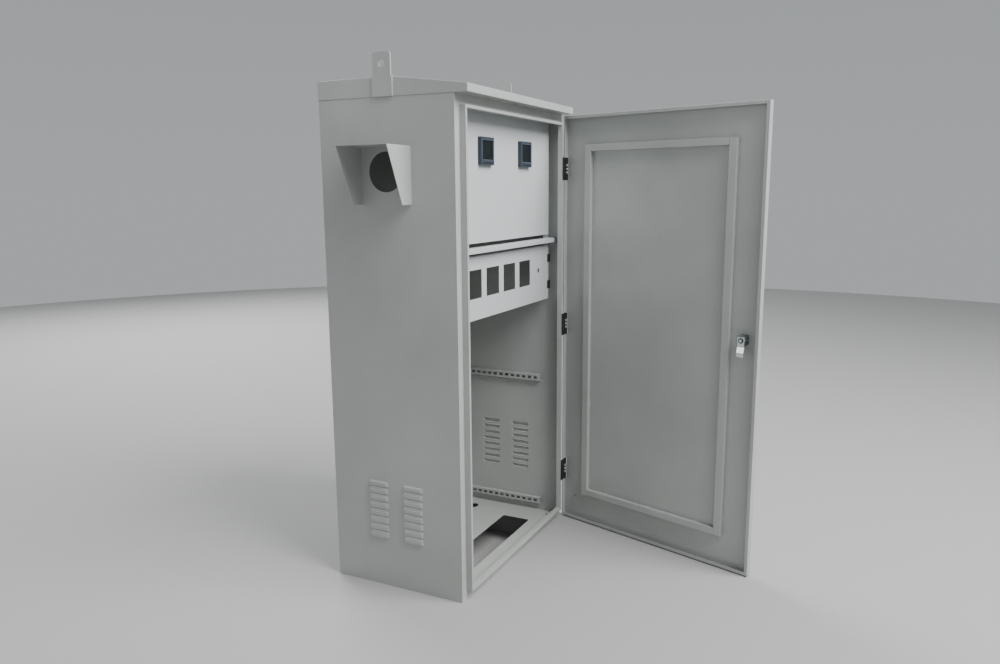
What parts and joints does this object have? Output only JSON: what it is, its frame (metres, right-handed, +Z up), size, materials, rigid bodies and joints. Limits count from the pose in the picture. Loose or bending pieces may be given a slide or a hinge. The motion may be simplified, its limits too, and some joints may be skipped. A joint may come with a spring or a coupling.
{
  "type": "roadside utility cabinet",
  "caption": "Free-standing sheet steel cabinet with a hinged door held open, inner panels, side rain hood, louvred walls, sloped roof cap and lifting lugs.",
  "frame": {"origin": "centre of the footprint of the cabinet body, on the ground", "axes": "+X to the hinge side of the door, the door opening faces -Y, +Z up"},
  "size_m": [1.16, 1.5875, 2.111],
  "materials": {
    "cabinet_paint": "semi-gloss light greenish grey powder coat",
    "panel_paint": "semi-gloss pale grey powder coat",
    "black_metal": "satin black",
    "zinc": "bare zinc casting",
    "steel": "zinc-plated steel",
    "chrome": "polished plating",
    "meter_case": "dark blue-grey moulding",
    "meter_glass": "dark window"
  },
  "bodies": {
    "cabinet": {"side_wall_left": "cabinet_paint", "side_wall_right": "cabinet_paint", "rear_wall": "cabinet_paint", "front_frame": "cabinet_paint", "floor_plate": "cabinet_paint", "roof_cap": "cabinet_paint", "lug_left": "cabinet_paint", "lug_right": "cabinet_paint", "fan_hood": "cabinet_paint", "rail_upper_left": "cabinet_paint", "rail_upper_right": "cabinet_paint", "rail_lower_left": "cabinet_paint", "rail_lower_right": "cabinet_paint", "panel_post_left": "panel_paint", "panel_post_right": "panel_paint", "cross_rail": "panel_paint", "instrument_panel": "panel_paint", "meter_left": "meter_case", "meter_right": "meter_case", "meter_glass_left": "meter_glass", "meter_glass_right": "meter_glass", "breaker_panel": "panel_paint", "panel_hinges": "black_metal", "hinge_leaf_top": "black_metal", "hinge_leaf_middle": "black_metal", "hinge_leaf_bottom": "black_metal", "hinge_pins": "steel"},
    "door": {"door_panel": "cabinet_paint", "stiffener_uprights": "cabinet_paint", "stiffener_crossbars": "cabinet_paint", "door_knuckle_top": "zinc", "door_knuckle_middle": "zinc", "door_knuckle_bottom": "zinc", "door_leaves": "cabinet_paint", "lock_body": "chrome", "handle_plate": "chrome"},
    "latch": {"handle": "chrome", "cam": "steel", "cam_nut": "steel"}
  },
  "joints": [
    {"name": "door_hinge", "type": "hinge", "parent": "cabinet", "child": "door", "pos_m": [0.498, -0.3285, 0.976], "axis": [0, 0, 1], "range_deg": [-73.7, 36.3]},
    {"name": "latch_turn", "type": "hinge", "parent": "door", "child": "latch", "pos_m": [0.21665, -1.21049, 1.008], "axis": [-0.9598, 0.2807, 0], "range_deg": [0, 90]}
  ]
}
